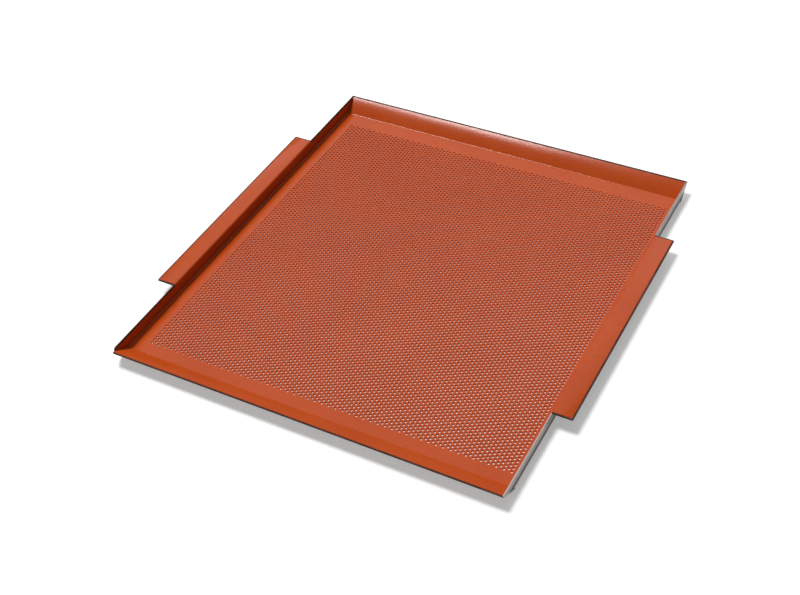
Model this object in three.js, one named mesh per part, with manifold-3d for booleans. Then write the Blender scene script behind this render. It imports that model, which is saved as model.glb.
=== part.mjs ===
// Flat perforated baking tray, folded from one aluminium sheet, with a silicone release coat on
// its upper side. Millimetres, +Z up. The origin is in the middle between the lips' rims and
// between the side walls, level with the floor's underside. +X points to the right-hand rest
// wing and +Y to the back lip.

import * as THREE from 'three';
import { mergeVertices } from 'three/addons/utils/BufferGeometryUtils.js';
import Module from 'manifold-3d';

const wasm = await Module();
wasm.setup();

// ---- driving dimensions ----------------------------------------------------------------------
const BODY_WIDTH = 484;       // outside of one side wall to outside of the other
const BASE_DEPTH = 514;       // between the fold lines of the front and back lips
const LIP_REACH = { back: 21, front: 27 };          // from a lip's fold line out to its rim
const LIP_RISE = 16.3;        // height of both lips' undersides at the rim
const SHEET = 1.5;            // aluminium sheet thickness
const COAT = 0.25;            // silicone coat thickness
const FLOOR_BEND = 2;         // inside radius of the folds around the floor
const WING_BEND = 1;          // inside radius of the fold between side wall and wing
const WING_WIDTH = 23;        // wing edge beyond the side wall's outer face
const WING_LENGTH = 320;      // wing length along the side wall
const SNIP = { across: 4, along: 8.5 };             // one rim corner is snipped off
const WELD = { width: 2.8, height: 0.9, gap: 0.05, inset: 3, stop: 10 };
const ARC_STEP = 10;          // degrees of fold per facet

// ---- derived dimensions ----------------------------------------------------------------------
const underBend = FLOOR_BEND + SHEET;               // fold radius on the sheet's underside
const halfBody = BODY_WIDTH / 2;
const floorEndX = halfBody - underBend;
const wallInnerX = halfBody - SHEET;
const halfWing = WING_LENGTH / 2;
const frontRimY = -(BASE_DEPTH / 2 + LIP_REACH.front);

// ---- materials -------------------------------------------------------------------------------
const aluminium = new THREE.MeshStandardMaterial({ color: 0xa9a8a4, metalness: 0.9, roughness: 0.45 });
const weldMetal = new THREE.MeshStandardMaterial({ color: 0x8f8d88, metalness: 0.9, roughness: 0.6 });
const silicone = new THREE.MeshStandardMaterial({ color: 0xc0522d, metalness: 0, roughness: 0.5 });

// ---- folded sections -------------------------------------------------------------------------
// A fold path follows the sheet's underside. Each point keeps the normal towards the coated
// side, so a layer of the sheet lies between two offsets from the same path.
function foldPath(start, heading, legs) {
  const at = start.clone();
  let turn = THREE.MathUtils.degToRad(heading);
  const path = [];
  const mark = () => path.push({
    at: at.clone(),
    normal: new THREE.Vector2(-Math.sin(turn), Math.cos(turn)),
  });
  mark();
  for (const leg of legs) {
    if (leg.run !== undefined) {
      at.add(new THREE.Vector2(Math.cos(turn), Math.sin(turn)).multiplyScalar(leg.run));
      mark();
      continue;
    }
    const side = Math.sign(leg.bend);
    const steps = Math.ceil(Math.abs(leg.bend) / ARC_STEP);
    const normal = path[path.length - 1].normal;
    const centre = at.clone().addScaledVector(normal, side * leg.radius);
    for (let i = 0; i < steps; i += 1) {
      turn += THREE.MathUtils.degToRad(leg.bend / steps);
      const out = new THREE.Vector2(-Math.sin(turn), Math.cos(turn));
      at.copy(centre).addScaledVector(out, -side * leg.radius);
      mark();
    }
  }
  return path;
}

function offsetLine(path, distance) {
  return path.map(({ at, normal }) => at.clone().addScaledVector(normal, distance));
}

function layerOutline(path, from, to) {
  return [...offsetLine(path, from), ...offsetLine(path, to).reverse()];
}

// A lip's path, from the end of the flat floor to the rim, drawn as for the back lip.
function lipPath(reach) {
  const slope = Math.atan2(LIP_RISE, reach);
  const setback = underBend * Math.tan(slope / 2);
  return foldPath(new THREE.Vector2(BASE_DEPTH / 2 - setback, 0), 0, [
    { bend: THREE.MathUtils.radToDeg(slope), radius: underBend },
    { run: Math.hypot(LIP_RISE, reach) - setback },
  ]);
}

const backFold = lipPath(LIP_REACH.back);
const frontFold = lipPath(LIP_REACH.front);
const floorBackY = backFold[0].at.x;
const floorFrontY = -frontFold[0].at.x;
const rimHeight = offsetLine(backFold, SHEET).pop().y;
const wingFoldZ = rimHeight - SHEET - WING_BEND;    // height where a side wall starts to fold out

const sideFold = foldPath(new THREE.Vector2(floorEndX, 0), 0, [{ bend: 90, radius: underBend }]);
const wingFold = foldPath(new THREE.Vector2(halfBody, wingFoldZ), 90, [
  { bend: -90, radius: WING_BEND },
  { run: WING_WIDTH - WING_BEND },
]);

// ---- solids ----------------------------------------------------------------------------------
// Extrudes an outline drawn in (X, Z) along Y, between two Y values.
function extrudeAlongY(outline, fromY, toY) {
  const geometry = new THREE.ExtrudeGeometry(new THREE.Shape(outline), {
    depth: toY - fromY, bevelEnabled: false,
  });
  const place = new THREE.Matrix4().makeBasis(
    new THREE.Vector3(1, 0, 0), new THREE.Vector3(0, 0, 1), new THREE.Vector3(0, -1, 0));
  place.setPosition(0, toY, 0);
  return geometry.applyMatrix4(place);
}

// Extrudes an outline drawn in (Y, Z) along X, between two X values.
function extrudeAlongX(outline, fromX, toX) {
  const geometry = new THREE.ExtrudeGeometry(new THREE.Shape(outline), {
    depth: toX - fromX, bevelEnabled: false,
  });
  const place = new THREE.Matrix4().makeBasis(
    new THREE.Vector3(0, 1, 0), new THREE.Vector3(0, 0, 1), new THREE.Vector3(1, 0, 0));
  place.setPosition(fromX, 0, 0);
  return geometry.applyMatrix4(place);
}

function toSolid(geometry) {
  const bare = geometry.clone();
  bare.deleteAttribute('normal');
  bare.deleteAttribute('uv');
  const merged = mergeVertices(bare, 1e-4);
  return new wasm.Manifold(new wasm.Mesh({
    numProp: 3,
    vertProperties: Float32Array.from(merged.attributes.position.array),
    triVerts: Uint32Array.from(merged.index.array),
  }));
}

function fromSolid(solid) {
  const { vertProperties, triVerts } = solid.getMesh();
  const geometry = new THREE.BufferGeometry();
  geometry.setAttribute('position', new THREE.BufferAttribute(vertProperties, 3));
  geometry.setIndex(new THREE.BufferAttribute(triVerts, 1));
  geometry.computeVertexNormals();
  return geometry;
}

// A copy of a closed shape on the other side of the tray, still facing outwards.
function mirrored(geometry, axis) {
  const copy = geometry.index ? geometry.toNonIndexed() : geometry.clone();
  const points = copy.attributes.position;
  const flip = axis === 'x' ? new THREE.Vector3(-1, 1, 1) : new THREE.Vector3(1, -1, 1);
  const corner = new THREE.Vector3();
  const corners = [];
  for (let i = 0; i < points.count; i += 1) {
    corners.push(corner.fromBufferAttribute(points, i).multiply(flip).clone());
  }
  for (let i = 0; i < points.count; i += 3) {
    [corners[i + 1], corners[i + 2]] = [corners[i + 2], corners[i + 1]];
  }
  const result = new THREE.BufferGeometry().setFromPoints(corners);
  result.computeVertexNormals();
  return result;
}

// The front left rim corner is snipped by a plane that stands upright across it.
function snipped(geometry) {
  const tip = new THREE.Vector2(-halfBody, frontRimY);
  const margin = 2;
  const reach = 1 + margin / Math.min(SNIP.across, SNIP.along);
  const wedge = new THREE.Shape([
    new THREE.Vector2(tip.x - SNIP.across * (reach - 1), tip.y + SNIP.along * reach),
    new THREE.Vector2(tip.x - SNIP.across * reach, tip.y - SNIP.along * reach),
    new THREE.Vector2(tip.x + SNIP.across * reach, tip.y - SNIP.along * (reach - 1)),
  ]);
  const cutter = new THREE.ExtrudeGeometry(wedge, { depth: rimHeight * 2, bevelEnabled: false });
  cutter.translate(0, 0, -rimHeight / 2);
  return fromSolid(toSolid(geometry).subtract(toSolid(cutter)));
}

// ---- sub-parts -------------------------------------------------------------------------------
function floorPlate(bottom, top) {
  const plate = new THREE.BoxGeometry(floorEndX * 2, floorBackY - floorFrontY, top - bottom);
  return plate.translate(0, (floorBackY + floorFrontY) / 2, (bottom + top) / 2);
}

function backLip(from, to) {
  return extrudeAlongX(layerOutline(backFold, from, to), -wallInnerX, wallInnerX);
}

function frontLip(from, to) {
  const lip = extrudeAlongX(layerOutline(frontFold, from, to), -wallInnerX, wallInnerX);
  return snipped(mirrored(lip, 'y'));
}

// The part of an outline below the rim's height.
function upToRim(points) {
  const over = points.findIndex((p) => p.y >= rimHeight);
  const [below, above] = points.slice(over - 1, over + 1);
  const share = (rimHeight - below.y) / (above.y - below.y);
  return [...points.slice(0, over), below.clone().lerp(above, share)];
}

// One end of a side wall's upright outline: it follows a lip up to the rim, and its top is
// lower where the wing folds out.
function wallEnd(lipFold, lipSide) {
  const rimEdge = offsetLine(lipFold, SHEET).pop();
  return [
    new THREE.Vector2(lipFold[0].at.x, underBend),
    ...upToRim([...offsetLine(lipFold, lipSide), rimEdge]),
    new THREE.Vector2(halfWing, rimHeight),
    new THREE.Vector2(halfWing, wingFoldZ),
  ];
}

function wallUpright(fromX, toX, lipSide) {
  const backEnd = wallEnd(backFold, lipSide);
  const frontEnd = wallEnd(frontFold, lipSide).map((p) => new THREE.Vector2(-p.x, p.y));
  return extrudeAlongX([...backEnd, ...frontEnd.reverse()], fromX, toX);
}

function rightWall() {
  const fold = extrudeAlongY(layerOutline(sideFold, 0, SHEET), floorFrontY, floorBackY);
  const upright = wallUpright(wallInnerX, halfBody, 0);
  return fromSolid(toSolid(fold).add(toSolid(upright)));
}

function rightWallCoat() {
  const outline = layerOutline(sideFold, SHEET, SHEET + COAT);
  const fold = extrudeAlongY(outline, floorFrontY, floorBackY);
  const upright = wallUpright(wallInnerX - COAT, wallInnerX, SHEET + COAT);
  return fromSolid(toSolid(fold).add(toSolid(upright)));
}

function rightWing(from, to) {
  return extrudeAlongY(layerOutline(wingFold, from, to), -halfWing, halfWing);
}

// A low bead of weld along a right corner, on the lip's underside, drawn as for the back lip.
function rightWeld(lipFold) {
  const section = new THREE.Shape();
  section.moveTo(-WELD.width / 2, 0);
  section.bezierCurveTo(
    -WELD.width / 2, WELD.height * 1.33, WELD.width / 2, WELD.height * 1.33, WELD.width / 2, 0);
  const [foot, rim] = lipFold.slice(-2);
  const along = rim.at.clone().sub(foot.at);
  const length = along.length() - WELD.inset - WELD.stop;
  along.normalize();
  const bead = new THREE.ExtrudeGeometry(section, {
    depth: length, bevelEnabled: false, curveSegments: 8,
  });
  const start = foot.at.clone()
    .addScaledVector(along, WELD.inset)
    .addScaledVector(foot.normal, -WELD.gap);
  const outward = rim.normal.clone().negate();
  const place = new THREE.Matrix4().makeBasis(
    new THREE.Vector3(1, 0, 0),
    new THREE.Vector3(0, outward.x, outward.y),
    new THREE.Vector3(0, along.x, along.y));
  place.setPosition(halfBody - WELD.width / 2 - WELD.gap, start.x, start.y);
  return bead.applyMatrix4(place);
}

// ---- assembly --------------------------------------------------------------------------------
// The parts are drawn about the middle of the floor, and the tray about the middle of its rim.
const tray = new THREE.Group();
tray.position.y = (LIP_REACH.front - LIP_REACH.back) / 2;

function addPart(name, geometry, material) {
  const mesh = new THREE.Mesh(geometry, material);
  mesh.name = name;
  tray.add(mesh);
}

const coatTop = SHEET + COAT;
addPart('floor_sheet', floorPlate(0, SHEET), aluminium);
addPart('floor_coat', floorPlate(SHEET, coatTop), silicone);

addPart('back_lip', backLip(0, SHEET), aluminium);
addPart('back_lip_coat', backLip(SHEET, coatTop), silicone);
addPart('front_lip', frontLip(0, SHEET), aluminium);
addPart('front_lip_coat', frontLip(SHEET, coatTop), silicone);

addPart('right_wall', rightWall(), aluminium);
addPart('right_wall_coat', rightWallCoat(), silicone);
addPart('left_wall', snipped(mirrored(rightWall(), 'x')), aluminium);
addPart('left_wall_coat', snipped(mirrored(rightWallCoat(), 'x')), silicone);

addPart('right_wing', rightWing(0, SHEET), aluminium);
addPart('right_wing_coat', rightWing(SHEET, coatTop), silicone);
addPart('left_wing', mirrored(rightWing(0, SHEET), 'x'), aluminium);
addPart('left_wing_coat', mirrored(rightWing(SHEET, coatTop), 'x'), silicone);

const frontRightWeld = mirrored(rightWeld(frontFold), 'y');
addPart('corner_weld_back_right', rightWeld(backFold), weldMetal);
addPart('corner_weld_back_left', mirrored(rightWeld(backFold), 'x'), weldMetal);
addPart('corner_weld_front_right', frontRightWeld, weldMetal);
addPart('corner_weld_front_left', mirrored(frontRightWeld, 'x'), weldMetal);

export default tray;
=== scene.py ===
# The looks of a flat perforated baking tray: one folded aluminium sheet, punched all over its
# floor, with a terracotta silicone coat on the upper side. Metres, +Z up.
import math

import bmesh
import bpy
from mathutils import Matrix, Quaternion, Vector


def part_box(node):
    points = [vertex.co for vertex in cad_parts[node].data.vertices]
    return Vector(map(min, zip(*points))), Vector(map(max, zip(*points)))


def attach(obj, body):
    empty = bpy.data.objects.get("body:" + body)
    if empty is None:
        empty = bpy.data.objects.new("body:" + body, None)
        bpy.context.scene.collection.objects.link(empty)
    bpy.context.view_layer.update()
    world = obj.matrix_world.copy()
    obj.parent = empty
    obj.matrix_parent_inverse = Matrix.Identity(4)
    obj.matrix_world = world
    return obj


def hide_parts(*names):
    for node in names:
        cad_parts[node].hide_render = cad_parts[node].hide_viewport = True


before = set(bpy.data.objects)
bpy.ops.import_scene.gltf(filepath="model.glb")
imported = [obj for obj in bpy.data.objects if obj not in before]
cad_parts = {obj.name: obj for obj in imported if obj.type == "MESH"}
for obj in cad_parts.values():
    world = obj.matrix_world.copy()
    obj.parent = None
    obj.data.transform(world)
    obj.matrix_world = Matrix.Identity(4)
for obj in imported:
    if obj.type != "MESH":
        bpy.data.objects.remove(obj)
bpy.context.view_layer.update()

MM = 0.001

# ---- sizes taken from the frame ----------------------------------------------------------------
floor_low, floor_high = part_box("floor_sheet")
coat_low, coat_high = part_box("floor_coat")
_, wall_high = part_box("right_wall")
wing_low, wing_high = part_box("right_wing")
weld_low, weld_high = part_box("corner_weld_back_right")

SHEET = floor_high.z - floor_low.z          # aluminium thickness
FILM = coat_high.z - coat_low.z             # silicone thickness
FLOOR_X = floor_high.x                      # the side folds start here
BODY_X = wall_high.x                        # outer face of a side wall
RIM_Z = wall_high.z                         # top of the side walls
FOLD = BODY_X - FLOOR_X                     # fold radius on the sheet's underside
WING_X = wing_high.x
WING_Z = wing_low.z                         # a side wall starts to fold out here
WING_FOLD = RIM_Z - SHEET - WING_Z          # fold radius under the wing
WING_HALF = (wing_high.y - wing_low.y) / 2  # half of a wing's length
MIDDLE_Y = (wing_high.y + wing_low.y) / 2   # middle of the floor, the punching and the wings

# ---- sizes of its own --------------------------------------------------------------------------
FOLD_LINE = 257 * MM                        # from the floor's middle to a lip's fold line
LIP_RISE = 16.3 * MM                        # height of a lip's underside at its rim
HOLE_RADIUS = 1.5 * MM
HOLE_PITCH = 5 * MM
HOLE_SIDES = 12
HOLE_TAPER = 0.28 * MM                      # a hole is this much narrower at its foot
FILM_DRAW = 0.13 * MM                       # the film's edge draws back from each hole
COLUMNS = 105                               # columns of holes, side by side along X
ROWS = 95                                   # holes in an even column; an odd one has one fewer
PANELS = 4                                  # the punched field is made in this many panels
EDGE_ROUND = 0.3 * MM
FILM_ROUND = 0.18 * MM
FILM_SHORT = 1.9 * MM                       # the film stops this far from a rim's cut edge
WING_CORNER = 1.6 * MM
BLANK = (0, SHEET)                          # the sheet's offsets from its underside
COAT = (SHEET, SHEET + FILM)                # and the film's
SNIP = Vector((4 * MM, 8.5 * MM))           # one rim corner is snipped off
WALL_SPARE = 30 * MM                        # a wall's ends start this much too long
WELD_INSET = 3 * MM                         # a weld starts this far past the lip's fold
WELD_STOP = 10 * MM                         # and stops this far short of the rim
WELD_HEIGHT = 0.9 * MM
WELD_RIPPLES = 11
COLUMN_STEP = HOLE_PITCH * math.sqrt(3) / 2
FIELD_X = 5.5 * MM                          # the punching's middle, to the right of the tray's
FIELD_Y = -0.5 * MM                         # and in front of the floor's
SPARE_COLUMNS = 5                           # whole cells at each side of the punched field
SPARE_ROWS = 6                              # and before and behind it
FIELD_MARGIN = 0.2                          # of a pitch, so that no border cell counts as punched

# ---- modelling measures ------------------------------------------------------------------------
HAIR = 0.001 * MM                           # points closer than this are one point
SEAM = 0.01 * MM                            # and closer than this where two cells meet
NEAR = 0.02 * MM                            # how exactly a place is asked for
ALONG = 0.9                                 # from this share on, a direction runs along an axis
SLANTED = 0.4                               # from this one on, it leans towards the axis
LEVEL = 0.1                                 # below this one, it runs across the axis
WALL_STEPS = 12                             # facets of a side wall's fold
WING_STEPS = 10                             # of a wing's fold
LIP_STEPS = 8                               # and of a lip's
ROUND_SEGMENTS = 2                          # facets of a rounded edge
CORNER_SEGMENTS = 4                         # and of a wing's corner
WELD_SIDES = 14
WELD_START = 0.45                           # a bead's width at its start, as a share of its widest


class LipShape:
    """One lip's underside: side is 1 at the back and -1 at the front."""

    def __init__(self, node, side):
        low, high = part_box(node)
        self.side = side
        self.floor_end, rim_y = (floor_high.y, high.y) if side > 0 else (floor_low.y, low.y)
        fold_y = MIDDLE_Y + side * FOLD_LINE
        reach = abs(rim_y - fold_y)
        self.angle = math.atan2(LIP_RISE, reach)
        self.run = math.hypot(LIP_RISE, reach) - FOLD * math.tan(self.angle / 2)
        self.fold_line = Vector((0, fold_y, 0))
        self.rim = Vector((0, rim_y, LIP_RISE))
        self.upwards = (self.rim - self.fold_line).normalized()
        self.outwards = Vector((0, side * math.sin(self.angle), -math.cos(self.angle)))


BACK = LipShape("back_lip", 1)
FRONT = LipShape("front_lip", -1)


# ---- modelling helpers -------------------------------------------------------------------------
def only(piece):
    """Selects one object and nothing else."""
    if bpy.context.object and bpy.context.object.mode != "OBJECT":
        bpy.ops.object.mode_set(mode="OBJECT")
    bpy.ops.object.select_all(action="DESELECT")
    piece.select_set(True)
    bpy.context.view_layer.objects.active = piece
    return piece


def edit(piece):
    """Opens one object for editing, with nothing selected in it."""
    only(piece)
    bpy.ops.object.mode_set(mode="EDIT")
    bpy.ops.mesh.select_all(action="DESELECT")


def done(piece):
    """Closes the editing, and gives the piece back."""
    bpy.ops.object.mode_set(mode="OBJECT")
    return piece


def pick(kind, test):
    """Adds to the selection, in edit mode, what passes the test on its middle and its normal."""
    bpy.ops.mesh.select_mode(type=kind)
    mesh = bmesh.from_edit_mesh(bpy.context.object.data)
    if kind == "VERT":
        for vert in mesh.verts:
            if test(vert.co):
                vert.select = True
    elif kind == "EDGE":
        for edge in mesh.edges:
            ends = edge.verts[0].co, edge.verts[1].co
            if test((ends[0] + ends[1]) / 2, (ends[1] - ends[0]).normalized()):
                edge.select = True
    else:
        for face in mesh.faces:
            if test(face.calc_center_median(), face.normal):
                face.select = True
    mesh.select_flush_mode()
    bmesh.update_edit_mesh(bpy.context.object.data)


def close_to(value, wanted, slack=NEAR):
    return abs(value - wanted) < slack


def extrude_faces(step):
    bpy.ops.mesh.extrude_region_move(TRANSFORM_OT_translate={"value": step})


def extrude_edges(step):
    bpy.ops.mesh.extrude_edges_move(TRANSFORM_OT_translate={"value": step})


def split_at(point, normal):
    """Draws an edge round the whole edited piece where a plane crosses it."""
    bpy.ops.mesh.select_all(action="SELECT")
    bpy.ops.mesh.bisect(plane_co=point, plane_no=normal, threshold=HAIR)
    bpy.ops.mesh.select_all(action="DESELECT")


def fold(steps, angle, centre, axis):
    """Sweeps the selected section about an axis; spin counts its angle the other way round."""
    bpy.ops.mesh.spin(steps=steps, angle=-angle, center=centre, axis=axis)


def cut_away(point, outwards, close=True):
    """Cuts the whole edited piece by a plane and loses what lies beyond it."""
    bpy.ops.mesh.select_all(action="SELECT")
    bpy.ops.mesh.bisect(
        plane_co=point, plane_no=outwards, clear_outer=True, use_fill=close,
        threshold=HAIR)
    bpy.ops.mesh.select_all(action="DESELECT")


def face_outwards():
    """Merges the edited piece's doubles and turns its faces outwards."""
    bpy.ops.mesh.select_all(action="SELECT")
    bpy.ops.mesh.remove_doubles(threshold=HAIR)
    bpy.ops.mesh.normals_make_consistent(inside=False)
    bpy.ops.mesh.select_all(action="DESELECT")


def smooth(piece, degrees=35):
    only(piece)
    bpy.ops.object.shade_smooth_by_angle(angle=math.radians(degrees))
    return piece


def section(name, middle, size, turn):
    """A flat rectangle, the end of a strip of sheet, ready to be spun and extruded."""
    bpy.ops.object.select_all(action="DESELECT")
    bpy.ops.mesh.primitive_plane_add(size=1, location=middle, rotation=turn)
    piece = bpy.context.object
    piece.name = name
    piece.scale = (*size, 1)
    bpy.ops.object.transform_apply(location=True, rotation=True, scale=True)
    return piece


def repeat(piece, count, step):
    """Repeats a piece with an Array modifier, applied."""
    only(piece)
    array = piece.modifiers.new("repeat", "ARRAY")
    array.count = count
    array.use_relative_offset = False
    array.use_constant_offset = True
    array.constant_offset_displace = step
    bpy.ops.object.modifier_apply(modifier=array.name)


def join(name, *parts):
    only(parts[0])
    for part in parts[1:]:
        part.select_set(True)
    bpy.ops.object.join()
    bpy.context.object.name = name
    return bpy.context.object


# ---- punched floor -----------------------------------------------------------------------------
def widen_to_hexagon(height):
    """Spreads the selected ring of points to the hexagon that one hole fills."""
    apothem = HOLE_PITCH / 2
    ring = bmesh.from_edit_mesh(bpy.context.object.data)
    now = next(v.co.xy.length for v in ring.verts if v.select)
    bpy.ops.transform.resize(
        value=(apothem / now, apothem / now, 1), center_override=(0, 0, height))
    bpy.ops.mesh.select_all(action="DESELECT")
    pick("VERT", lambda p: (
        close_to(p.z, height) and close_to(p.xy.length, apothem)
        and round(math.degrees(math.atan2(p.y, p.x))) % 60 == 0))
    corner = 2 / math.sqrt(3)
    bpy.ops.transform.resize(value=(corner, corner, 1), center_override=(0, 0, height))
    bpy.ops.mesh.select_all(action="DESELECT")


def punched_cell(low, high, radius_low, radius_high):
    """The layer of sheet or film around one hole, open on its six outer sides."""
    bpy.ops.object.select_all(action="DESELECT")
    bpy.ops.mesh.primitive_circle_add(
        vertices=HOLE_SIDES, radius=radius_low, fill_type="NOTHING", location=(0, 0, low))
    cell = bpy.context.object
    bpy.ops.object.transform_apply(location=True, rotation=True, scale=True)
    edit(cell)
    bpy.ops.mesh.select_all(action="SELECT")
    extrude_edges((0, 0, high - low))
    flare = radius_high / radius_low
    bpy.ops.transform.resize(value=(flare, flare, 1), center_override=(0, 0, high))
    extrude_edges((0, 0, 0))
    widen_to_hexagon(high)
    pick("EDGE", lambda p, along: close_to(p.z, low))
    extrude_edges((0, 0, 0))
    widen_to_hexagon(low)
    pick("VERT", lambda p: close_to(p.xy.length, HOLE_PITCH / 2))
    bpy.ops.mesh.dissolve_verts()
    return done(cell)


def sheet_cell():
    return punched_cell(*BLANK, HOLE_RADIUS - HOLE_TAPER, HOLE_RADIUS)


def film_cell():
    return punched_cell(*COAT, HOLE_RADIUS, HOLE_RADIUS + FILM_DRAW)


def hole_side(p, normal):
    """Whether a face of the punched sheet is the wall of a hole."""
    return abs(normal.z) < 0.5


def column_block(cell_of, first, last, odd, spare_rows=0):
    """All the even or all the odd columns of a panel."""
    columns = [c for c in range(first, last) if c % 2 == odd]
    rows = ROWS - odd + 2 * spare_rows
    cell = cell_of()
    only(cell)
    cell.location = (
        FIELD_X + (columns[0] - (COLUMNS - 1) / 2) * COLUMN_STEP,
        FIELD_Y - (rows - 1) / 2 * HOLE_PITCH, 0)
    bpy.ops.object.transform_apply(location=True, rotation=True, scale=True)
    repeat(cell, rows, (0, HOLE_PITCH, 0))
    repeat(cell, len(columns), (2 * COLUMN_STEP, 0, 0))
    return cell


def punched_panel(name, cell_of, panel):
    """One closed panel of the punched field."""
    first = panel * COLUMNS // PANELS
    last = (panel + 1) * COLUMNS // PANELS
    blocks = [column_block(cell_of, first, last, odd) for odd in (0, 1)]
    piece = join(name, *blocks)
    edit(piece)
    bpy.ops.mesh.select_all(action="SELECT")
    bpy.ops.mesh.remove_doubles(threshold=SEAM)
    bpy.ops.mesh.select_all(action="DESELECT")
    bpy.ops.mesh.select_mode(type="EDGE")
    bpy.ops.mesh.select_non_manifold(
        extend=False, use_wire=False, use_boundary=True, use_multi_face=False,
        use_non_contiguous=False, use_verts=False)
    bpy.ops.mesh.bridge_edge_loops()
    face_outwards()
    return smooth(done(piece))


def plain_cell():
    """The floor that one hole would fill, left whole."""
    bpy.ops.object.select_all(action="DESELECT")
    bpy.ops.mesh.primitive_circle_add(
        vertices=6, radius=HOLE_PITCH / math.sqrt(3), fill_type="NGON",
        rotation=(0, 0, math.radians(30)))
    bpy.ops.object.transform_apply(location=True, rotation=True, scale=True)
    return bpy.context.object


def border_outline():
    """The flat unpunched border: whole cells round the punched field, trimmed at the folds."""
    blocks = [
        column_block(plain_cell, -SPARE_COLUMNS, COLUMNS + SPARE_COLUMNS, odd, SPARE_ROWS)
        for odd in (0, 1)]
    border = join("border", *blocks)
    edit(border)
    bpy.ops.mesh.select_all(action="SELECT")
    bpy.ops.mesh.remove_doubles(threshold=SEAM)
    bpy.ops.mesh.select_all(action="DESELECT")
    field_x = COLUMNS / 2 * COLUMN_STEP
    field_y = (ROWS / 2 - FIELD_MARGIN) * HOLE_PITCH
    pick("FACE", lambda p, normal: (
        abs(p.x - FIELD_X) < field_x and abs(p.y - FIELD_Y) < field_y))
    bpy.ops.mesh.delete(type="FACE")
    for side in (-1, 1):
        cut_away((side * FLOOR_X, 0, 0), (side, 0, 0), close=False)
    for shape in (BACK, FRONT):
        cut_away((0, shape.floor_end, 0), (0, shape.side, 0), close=False)
    return done(border)


def floor_border(name, outline, low, high):
    piece = outline.copy()
    piece.data = outline.data.copy()
    piece.name = name
    bpy.context.collection.objects.link(piece)
    edit(piece)
    bpy.ops.mesh.select_all(action="SELECT")
    bpy.ops.transform.translate(value=(0, 0, low))
    extrude_faces((0, 0, high - low))
    face_outwards()
    return smooth(done(piece))


# ---- folded strips -----------------------------------------------------------------------------
# Each strip is a layer of the sheet: from offset "low" to offset "high" above its underside.
def snip_corner():
    """Cuts off the front left rim corner."""
    across = Vector((-SNIP.y, -SNIP.x, 0)).normalized()
    cut_away((-BODY_X, FRONT.rim.y + SNIP.y, 0), across)


def lip(name, shape, low, high, short, rounding):
    """A lip's layer, which stops short of the rim by that much."""
    start = (0, shape.floor_end, (low + high) / 2)
    width = 2 * (BODY_X - SHEET)
    piece = section(name, start, (width, high - low), (math.pi / 2, 0, 0))
    edit(piece)
    bpy.ops.mesh.select_all(action="SELECT")
    fold(LIP_STEPS, shape.side * shape.angle, (0, shape.floor_end, FOLD), (1, 0, 0))
    extrude_faces(shape.upwards * (shape.run - short))
    face_outwards()
    split_at(shape.rim - shape.upwards * FILM_SHORT, shape.upwards)
    if shape is FRONT:
        snip_corner()
    pick("EDGE", lambda p, along: (
        close_to((p - shape.rim).dot(shape.upwards), -short) and abs(along.x) > SLANTED))
    bpy.ops.mesh.bevel(offset=rounding, segments=ROUND_SEGMENTS, affect="EDGES")
    return smooth(done(piece))


def side_wall(name, side, low, high, lip_offset, short, rounding):
    """A side wall's layer, which stops short of the rim: side is 1 at the right, -1 at the left."""
    middle = (side * FLOOR_X, (BACK.floor_end + FRONT.floor_end) / 2, (low + high) / 2)
    length = BACK.floor_end - FRONT.floor_end
    piece = section(name, middle, (high - low, length), (0, math.pi / 2, 0))
    edit(piece)
    for split in (MIDDLE_Y - WING_HALF, MIDDLE_Y + WING_HALF):
        split_at((0, split, 0), (0, 1, 0))
    bpy.ops.mesh.select_all(action="SELECT")
    fold(WALL_STEPS, -side * math.pi / 2, (side * FLOOR_X, 0, FOLD), (0, 1, 0))
    extrude_faces((0, 0, WING_Z - FOLD))
    face_outwards()
    for shape in (BACK, FRONT):
        pick("FACE", lambda p, normal: normal.y * shape.side > ALONG and p.z > FOLD)
        extrude_faces((0, shape.side * WALL_SPARE, 0))
        bpy.ops.mesh.select_all(action="DESELECT")
    pick("FACE", lambda p, normal: normal.z < -ALONG and close_to(p.z, FOLD))
    extrude_faces((0, 0, low - FOLD))
    bpy.ops.mesh.select_all(action="DESELECT")
    pick("FACE", lambda p, normal: close_to(p.z, WING_Z) and abs(p.y - MIDDLE_Y) > WING_HALF)
    extrude_faces((0, 0, RIM_Z - short - WING_Z))
    face_outwards()
    split_at((0, 0, RIM_Z - FILM_SHORT), (0, 0, 1))
    for shape in (BACK, FRONT):
        cut_away(shape.fold_line - shape.outwards * lip_offset, shape.outwards)
        cut_away(shape.rim - shape.upwards * short, shape.upwards)
    if side < 0:
        snip_corner()
    pick("EDGE", lambda p, along: close_to(p.z, RIM_Z - short) and abs(along.y) > ALONG)
    bpy.ops.mesh.bevel(offset=rounding, segments=ROUND_SEGMENTS, affect="EDGES")
    return smooth(done(piece))


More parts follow.
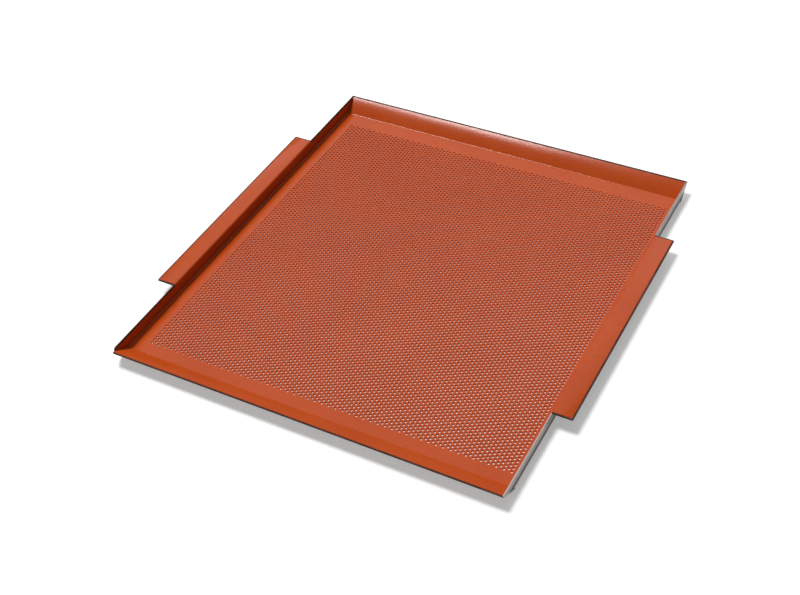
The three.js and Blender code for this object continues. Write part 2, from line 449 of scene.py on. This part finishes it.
def wing(name, side, low, high, short, rounding):
    """A rest wing's layer, folded out from the top of a side wall."""
    middle = (side * (BODY_X - (low + high) / 2), MIDDLE_Y, WING_Z)
    piece = section(name, middle, (high - low, 2 * WING_HALF), (0, 0, 0))
    edit(piece)
    bpy.ops.mesh.select_all(action="SELECT")
    fold(WING_STEPS, side * math.pi / 2, (side * (BODY_X + WING_FOLD), 0, WING_Z), (0, 1, 0))
    extrude_faces((side * (WING_X - short - BODY_X - WING_FOLD), 0, 0))
    face_outwards()
    if short:
        for end in (-1, 1):
            cut_away((0, MIDDLE_Y + end * (WING_HALF - short), 0), (0, end, 0))
    edge_x = WING_X - short
    edge_y = WING_HALF - short
    pick("EDGE", lambda p, along: close_to(abs(p.x), edge_x) and abs(along.z) > ALONG)
    bpy.ops.mesh.bevel(offset=WING_CORNER, segments=CORNER_SEGMENTS, affect="EDGES")
    for end in (-1, 1):
        split_at((0, MIDDLE_Y + end * (WING_HALF - FILM_SHORT), 0), (0, 1, 0))
    split_at((side * (WING_X - FILM_SHORT), 0, 0), (1, 0, 0))
    flat = BODY_X + WING_FOLD + 0.1 * MM
    pick("EDGE", lambda p, along: (
        abs(along.z) < LEVEL and abs(p.x) > flat
        and (close_to(abs(p.y - MIDDLE_Y), edge_y) or close_to(abs(p.x), edge_x)
             or round_corner(p, edge_x, edge_y))))
    bpy.ops.mesh.bevel(offset=rounding, segments=ROUND_SEGMENTS, affect="EDGES")
    return smooth(done(piece))


def round_corner(p, edge_x, edge_y):
    """Whether a point lies on the rounding of a wing's corner."""
    across = Vector((abs(p.x) - edge_x + WING_CORNER, abs(p.y - MIDDLE_Y) - edge_y + WING_CORNER))
    return min(across) > 0 and close_to(across.length, WING_CORNER, 0.1 * MM)


def weld_bead(name, side, shape):
    """A rippled bead across the seam between a lip and a side wall, on their underside."""
    bpy.ops.object.select_all(action="DESELECT")
    bpy.ops.mesh.primitive_circle_add(vertices=WELD_SIDES, radius=WELD_START, fill_type="NGON")
    bead = bpy.context.object
    bead.name = name
    edit(bead)
    bpy.ops.mesh.select_all(action="SELECT")
    swell = [0.8, 1] + [0.86, 1] * WELD_RIPPLES + [0.75, 0.4]
    width = WELD_START
    for step, now in enumerate(swell):
        extrude_faces((0, 0, 1 / len(swell)))
        bpy.ops.transform.resize(
            value=(now / width, now / width, 1), center_override=(0, 0, (step + 1) / len(swell)))
        width = now
    done(bead)
    across = Vector((side, 0, 0))
    foot = Vector((
        0,
        shape.floor_end + shape.side * FOLD * math.sin(shape.angle),
        FOLD * (1 - math.cos(shape.angle))))
    start = foot + shape.upwards * WELD_INSET + across * (weld_low.x + weld_high.x) / 2
    bead.matrix_world = Matrix.Translation(start) @ Matrix((
        across * (weld_high.x - weld_low.x) / 2,
        shape.outwards * WELD_HEIGHT,
        shape.upwards * (shape.run - WELD_INSET - WELD_STOP),
    )).transposed().to_4x4()
    bpy.ops.object.transform_apply(location=True, rotation=True, scale=True)
    edit(bead)
    face_outwards()
    return smooth(done(bead), 60)


# ---- shader helpers ----------------------------------------------------------------------------
class Number:
    """A number that varies over a surface: one output socket, with Python's arithmetic."""

    def __init__(self, finish, socket):
        self.finish = finish
        self.socket = socket

    def math(self, operation, *values):
        return self.finish.node("ShaderNodeMath", {"operation": operation}, dict(enumerate(values)))

    def __add__(self, other):
        return self.math("ADD", self, other)

    def __sub__(self, other):
        return self.math("SUBTRACT", self, other)

    def __rsub__(self, other):
        return self.math("SUBTRACT", other, self)

    def __mul__(self, other):
        return self.math("MULTIPLY", self, other)

    __radd__ = __add__
    __rmul__ = __mul__


class Finish:
    """A material in the making: its nodes, and the shader that they feed."""

    def __init__(self, name, **shader_values):
        self.material = bpy.data.materials.new(name)
        self.material.use_nodes = True
        self.nodes = self.material.node_tree.nodes
        self.shader = self.nodes["Principled BSDF"]
        self.feed(self.shader, shader_values)

    def feed(self, node, inputs):
        for name, value in inputs.items():
            socket = node.inputs[name.replace("_", " ") if isinstance(name, str) else name]
            if isinstance(value, Number):
                self.material.node_tree.links.new(value.socket, socket)
            else:
                socket.default_value = value

    def node(self, kind, settings=None, inputs=None, output=0):
        """Adds a node: its settings first, then the values or links of its input sockets."""
        node = self.nodes.new(kind)
        for name, value in (settings or {}).items():
            setattr(node, name, value)
        self.feed(node, inputs or {})
        return Number(self, node.outputs[output])

    def place(self, scale=(1, 1, 1), turn=0):
        """Object coordinates in metres, stretched and turned about Z."""
        at = self.node("ShaderNodeTexCoord", output="Object")
        return self.node("ShaderNodeMapping", {}, {
            "Vector": at, "Rotation": (0, 0, turn), "Scale": scale})

    def across(self, axis):
        """The object coordinate along one axis, in metres."""
        at = self.node("ShaderNodeTexCoord", output="Object")
        return self.node("ShaderNodeSeparateXYZ", {}, {"Vector": at}, output=axis)

    def noise(self, size, detail=3, scale=(1, 1, 1), turn=0, offset=0):
        """Noise from 0 to 1 with features of about that size in metres."""
        return self.node("ShaderNodeTexNoise", {"noise_dimensions": "4D"}, {
            "Vector": self.place(scale, turn), "W": offset, "Scale": 1 / size, "Detail": detail})

    def spread(self, value, low, high, start=0, end=1):
        """Maps low..high to start..end, held at both ends."""
        return self.node("ShaderNodeMapRange", {"interpolation_type": "SMOOTHSTEP"}, {
            "Value": value, "From Min": low, "From Max": high, "To Min": start, "To Max": end})

    def mix(self, share, first, second):
        return self.node("ShaderNodeMix", {"data_type": "RGBA"}, {
            "Factor": share, 6: first, 7: second}, output=2)

    def bump(self, height, depth):
        """A Bump node's normal, for heights from 0 to 1 that stand for that depth in metres."""
        return self.node("ShaderNodeBump", {}, {
            "Height": height, "Distance": depth, "Strength": 1})

    def use(self, **values):
        self.feed(self.shader, values)
        return self.material


def rgba(red, green, blue):
    return (red, green, blue, 1)


# ---- finishes ----------------------------------------------------------------------------------
FILM_PALE = rgba(0.50, 0.073, 0.009)
FILM_DARK = rgba(0.46, 0.063, 0.007)
FILM_DEEP = rgba(0.39, 0.045, 0.006)
FILM_WORN = rgba(0.58, 0.12, 0.03)
METAL_PALE = rgba(0.41, 0.38, 0.36)
METAL_DARK = rgba(0.29, 0.27, 0.255)
METAL_STAIN = rgba(0.36, 0.29, 0.23)
# EDGE_DARK also colours the painted shade at the foot of the lips and side walls.
EDGE_DARK = rgba(0.055, 0.018, 0.011)
EDGE_PALE = rgba(0.12, 0.042, 0.026)
FLOOR_PALE = rgba(0.81, 0.81, 0.805)
FLOOR_DARK = rgba(0.79, 0.79, 0.79)
FLOOR_GLOW = 0.3                            # how strongly the floor glows, all over
# Painted shade: lips and side walls darken towards their foot, standing in for the shade near the
# ground.
LIP_PAINTED_SHADE = 5.5 * MM                      # painted shade reaches up to this height on a lip, darkest at its foot
WALL_PAINTED_SHADE = 11.5 * MM                    # and up to this one on a side wall
PAINTED_SHADE_FADE = 4 * MM
PAINTED_SHADE_WAVER = 1 * MM
PEEL_DEPTH = 0.06 * MM                      # relief of the film
GRAIN_DEPTH = 0.012 * MM                    # of rolled metal
GRIT_DEPTH = 0.05 * MM                      # and of sheared or welded metal


def scratches(finish, turn, offset):
    """Thin long marks in one direction, here and there."""
    lines = finish.noise(0.0007, 1, (1, 0.012, 1), turn, offset)
    where = finish.noise(0.045, 2, (1, 1, 1), 0, offset + 3)
    return finish.spread(lines, 0.70, 0.76) * finish.spread(where, 0.52, 0.66)


def silicone_film():
    """Satin terracotta silicone, a little mottled, with the fine peel of a sprayed coat."""
    finish = Finish("silicone_film", Specular_IOR_Level=0.24)
    clouds = finish.noise(0.09, 4, offset=1)
    mottle = finish.noise(0.0032, 3, offset=2)
    marks = scratches(finish, 0.3, 4) + scratches(finish, -1.1, 9)
    base = finish.mix(finish.spread(clouds, 0.3, 0.7), FILM_DARK, FILM_PALE)
    base = finish.mix(finish.spread(mottle, 0.35, 0.75, 0, 0.35), base, FILM_DEEP)
    base = finish.mix(marks * 0.25, base, FILM_WORN)
    peel = finish.noise(0.0011, 2, offset=5)
    swell = finish.noise(0.012, 1, offset=6)
    return finish.use(
        Base_Color=base,
        Roughness=0.11 + clouds * 0.07 + mottle * 0.03 - marks * 0.03,
        Normal=finish.bump(peel * 0.5 + swell, PEEL_DEPTH))


def bare_aluminium(name, painted_shade_top=None):
    """Rolled sheet, dulled and stained by the oven, and with painted shade below a height, if
    given.
    """
    finish = Finish(name, Metallic=1)
    grain = finish.noise(0.0006, 3, (1, 0.02, 1), offset=1)
    stain = finish.spread(finish.noise(0.06, 5, offset=2), 0.48, 0.72)
    dull = finish.noise(0.015, 4, offset=3)
    base = finish.mix(grain, METAL_DARK, METAL_PALE)
    base = finish.mix(stain * 0.55, base, METAL_STAIN)
    if painted_shade_top is not None:
        # Painted shade: darker and less metallic towards the foot, fading out at that height.
        low = finish.across("Z") + dull * PAINTED_SHADE_WAVER
        painted_shade = finish.spread(low, painted_shade_top - PAINTED_SHADE_FADE, painted_shade_top, 1, 0)
        base = finish.mix(painted_shade * 0.9, base, EDGE_DARK)
        finish.use(Metallic=1 - painted_shade * 0.7)
    return finish.use(
        Base_Color=base,
        Roughness=0.34 + dull * 0.16 + stain * 0.14,
        Normal=finish.bump(grain, GRAIN_DEPTH))


def cut_edge():
    """The sheet's sheared edge, darkened by baked-on deposits."""
    finish = Finish("cut_edge", Specular_IOR_Level=0.2)
    streaks = finish.noise(0.0012, 3, (1, 1, 0.2), offset=1)
    patches = finish.noise(0.02, 3, offset=2)
    base = finish.mix(finish.spread(patches, 0.35, 0.7), EDGE_DARK, EDGE_PALE)
    return finish.use(
        Base_Color=base,
        Roughness=0.6 + streaks * 0.25,
        Normal=finish.bump(streaks, GRIT_DEPTH))


def hole_wall():
    """A punched hole's wall: film that ran down it, thinning to bare metal near its foot."""
    finish = Finish("hole_wall")
    height = finish.across("Z") + finish.noise(0.004, 2) * (0.6 * MM)
    film = finish.spread(height, 0.1 * MM, 0.6 * MM)
    scuff = finish.noise(0.0009, 2, (1, 1, 0.3), offset=2)
    return finish.use(
        Base_Color=finish.mix(film, METAL_STAIN, FILM_PALE),
        Metallic=1 - film,
        Roughness=0.35 + scuff * 0.2)


def weld_metal():
    """Matt weld bead with a bluish brown heat tint."""
    finish = Finish("weld_metal", Metallic=1)
    tint = finish.noise(0.004, 3, offset=1)
    grit = finish.noise(0.0005, 2, offset=2)
    return finish.use(
        Base_Color=finish.mix(finish.spread(tint, 0.35, 0.7), METAL_DARK, METAL_STAIN),
        Roughness=0.5 + grit * 0.2,
        Normal=finish.bump(grit, GRIT_DEPTH))


def studio_floor():
    """A plain pale floor, the same all over, with a faint even glow that softens the shadows."""
    finish = Finish(
        "studio_floor", Roughness=0.9, Specular_IOR_Level=0.1,
        Emission_Color=rgba(1, 1, 1), Emission_Strength=FLOOR_GLOW)
    return finish.use(Base_Color=finish.mix(finish.noise(0.5, 2), FLOOR_DARK, FLOOR_PALE))


# ---- putting it together -----------------------------------------------------------------------
def paint(piece, base, other=None, test=None):
    """Gives a piece its finish, and another finish to the faces that pass the test."""
    piece.data.materials.clear()
    piece.data.materials.append(base)
    if other:
        piece.data.materials.append(other)
        edit(piece)
        pick("FACE", test)
        piece.active_material_index = 1
        bpy.ops.object.material_slot_assign()
        done(piece)


def belongs(piece, slot, *nodes):
    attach(piece, "root")
    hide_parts(*nodes)


CAMERA_AZIMUTH = math.radians(30.19)        # from the front, towards the right
CAMERA_ELEVATION = math.radians(42.21)
CAMERA_ROLL = math.radians(-3.73)
CAMERA_DISTANCE = 1.546
CAMERA_LENS = 59.1                          # in millimetres, as Blender gives it
CAMERA_AIM = Vector((0.0031, -0.0474, 0))
SKY_STRENGTH = 0.17


def camera():
    """Looks down on the tray from the front right, turned slightly about its own axis."""
    back = Vector((
        math.sin(CAMERA_AZIMUTH) * math.cos(CAMERA_ELEVATION),
        -math.cos(CAMERA_AZIMUTH) * math.cos(CAMERA_ELEVATION),
        math.sin(CAMERA_ELEVATION)))
    data = bpy.data.cameras.new("camera")
    data.lens = CAMERA_LENS
    seen = bpy.data.objects.new("camera", data)
    bpy.context.collection.objects.link(seen)
    seen.location = CAMERA_AIM + back * CAMERA_DISTANCE
    seen.rotation_mode = "QUATERNION"
    level = (-back).to_track_quat("-Z", "Y")
    seen.rotation_quaternion = level @ Quaternion((0, 0, 1), CAMERA_ROLL)
    bpy.context.scene.camera = seen


def soft_light(name, direction, distance, size, power):
    """A square soft box that faces the tray."""
    data = bpy.data.lights.new(name, "AREA")
    data.shape = "SQUARE"
    data.size = size
    data.energy = power
    lamp = bpy.data.objects.new(name, data)
    bpy.context.collection.objects.link(lamp)
    towards = Vector(direction).normalized()
    lamp.location = towards * distance
    lamp.rotation_mode = "QUATERNION"
    lamp.rotation_quaternion = towards.to_track_quat("Z", "Y")


def studio():
    """A plain pale floor, a strong soft box high at the left and a weak one behind the tray."""
    scene = bpy.context.scene
    scene.view_settings.view_transform = "Standard"
    scene.world = bpy.data.worlds.new("studio")
    scene.world.use_nodes = True
    sky = scene.world.node_tree.nodes["Background"]
    sky.inputs["Color"].default_value = (1, 1, 1, 1)
    sky.inputs["Strength"].default_value = SKY_STRENGTH
    soft_light("soft_box_left", (-0.40, 0.13, 0.91), distance=9, size=2.6, power=700)
    soft_light("soft_box_back", (-0.28, 0.71, 0.70), distance=3.4, size=3.2, power=30)
    bpy.ops.object.select_all(action="DESELECT")
    bpy.ops.mesh.primitive_plane_add(size=60, location=(0, 0, -0.1 * MM))
    ground = bpy.context.object
    ground.name = "ground"
    ground.data.materials.append(studio_floor())


camera()
film, edge, wall_of_hole = silicone_film(), cut_edge(), hole_wall()
metal = bare_aluminium("bare_aluminium")
# Lip and side-wall metal with painted shade towards their foot.
lip_metal_painted_shade = bare_aluminium("lip_aluminium_painted_shade", LIP_PAINTED_SHADE)
wall_metal_painted_shade = bare_aluminium("wall_aluminium_painted_shade", WALL_PAINTED_SHADE)

for panel in range(PANELS):
    piece = punched_panel(f"punched_sheet_{panel + 1}", sheet_cell, panel)
    paint(piece, metal, wall_of_hole, hole_side)
    belongs(piece, "bare_aluminium", "floor_sheet")
    piece = punched_panel(f"punched_film_{panel + 1}", film_cell, panel)
    paint(piece, film)
    belongs(piece, "silicone_coat", "floor_coat")

outline = border_outline()
for name, layer, look, slot, node in (
        ("sheet_border", BLANK, metal, "bare_aluminium", "floor_sheet"),
        ("film_border", COAT, film, "silicone_coat", "floor_coat")):
    piece = floor_border(name, outline, *layer)
    paint(piece, look)
    belongs(piece, slot, node)
bpy.data.objects.remove(outline)

for end, shape in (("back", BACK), ("front", FRONT)):
    piece = lip(f"{end}_lip_sheet", shape, *BLANK, 0, EDGE_ROUND)
    paint(piece, lip_metal_painted_shade, edge, lambda p, normal: (
        (p - shape.rim).dot(shape.upwards) > -FILM_SHORT and normal.dot(shape.outwards) < ALONG))
    belongs(piece, "bare_aluminium", f"{end}_lip")
    piece = lip(f"{end}_lip_film", shape, *COAT, FILM_SHORT, FILM_ROUND)
    paint(piece, film)
    belongs(piece, "silicone_coat", f"{end}_lip_coat")

for end, side in (("right", 1), ("left", -1)):
    piece = side_wall(f"{end}_wall_sheet", side, *BLANK, 0, 0, EDGE_ROUND)
    # Only the left wall's rim strip takes the dark cut-edge finish: painted shade beside its shaded
    # inner face; the right wall's rim strip stays pale metal.
    paint(piece, wall_metal_painted_shade, edge, lambda p, normal: (
        abs(normal.y) > SLANTED
        or side < 0 and p.z > RIM_Z - FILM_SHORT and normal.x > -ALONG))
    belongs(piece, "bare_aluminium", f"{end}_wall")
    piece = side_wall(f"{end}_wall_film", side, *COAT, SHEET + FILM, FILM_SHORT, FILM_ROUND / 2)
    paint(piece, film)
    belongs(piece, "silicone_coat", f"{end}_wall_coat")
    piece = wing(f"{end}_wing_sheet", side, *BLANK, 0, EDGE_ROUND)
    paint(piece, metal, edge, lambda p, normal: normal.z > -ALONG and (
        abs(p.y - MIDDLE_Y) > WING_HALF - FILM_SHORT or abs(p.x) > WING_X - FILM_SHORT))
    belongs(piece, "bare_aluminium", f"{end}_wing")
    piece = wing(f"{end}_wing_film", side, *COAT, FILM_SHORT, FILM_ROUND)
    paint(piece, film)
    belongs(piece, "silicone_coat", f"{end}_wing_coat")

bead_metal = weld_metal()
for end, shape in (("back", BACK), ("front", FRONT)):
    for hand, side in (("right", 1), ("left", -1)):
        piece = weld_bead(f"weld_{end}_{hand}", side, shape)
        paint(piece, bead_metal)
        belongs(piece, "weld_metal", f"corner_weld_{end}_{hand}")

studio()
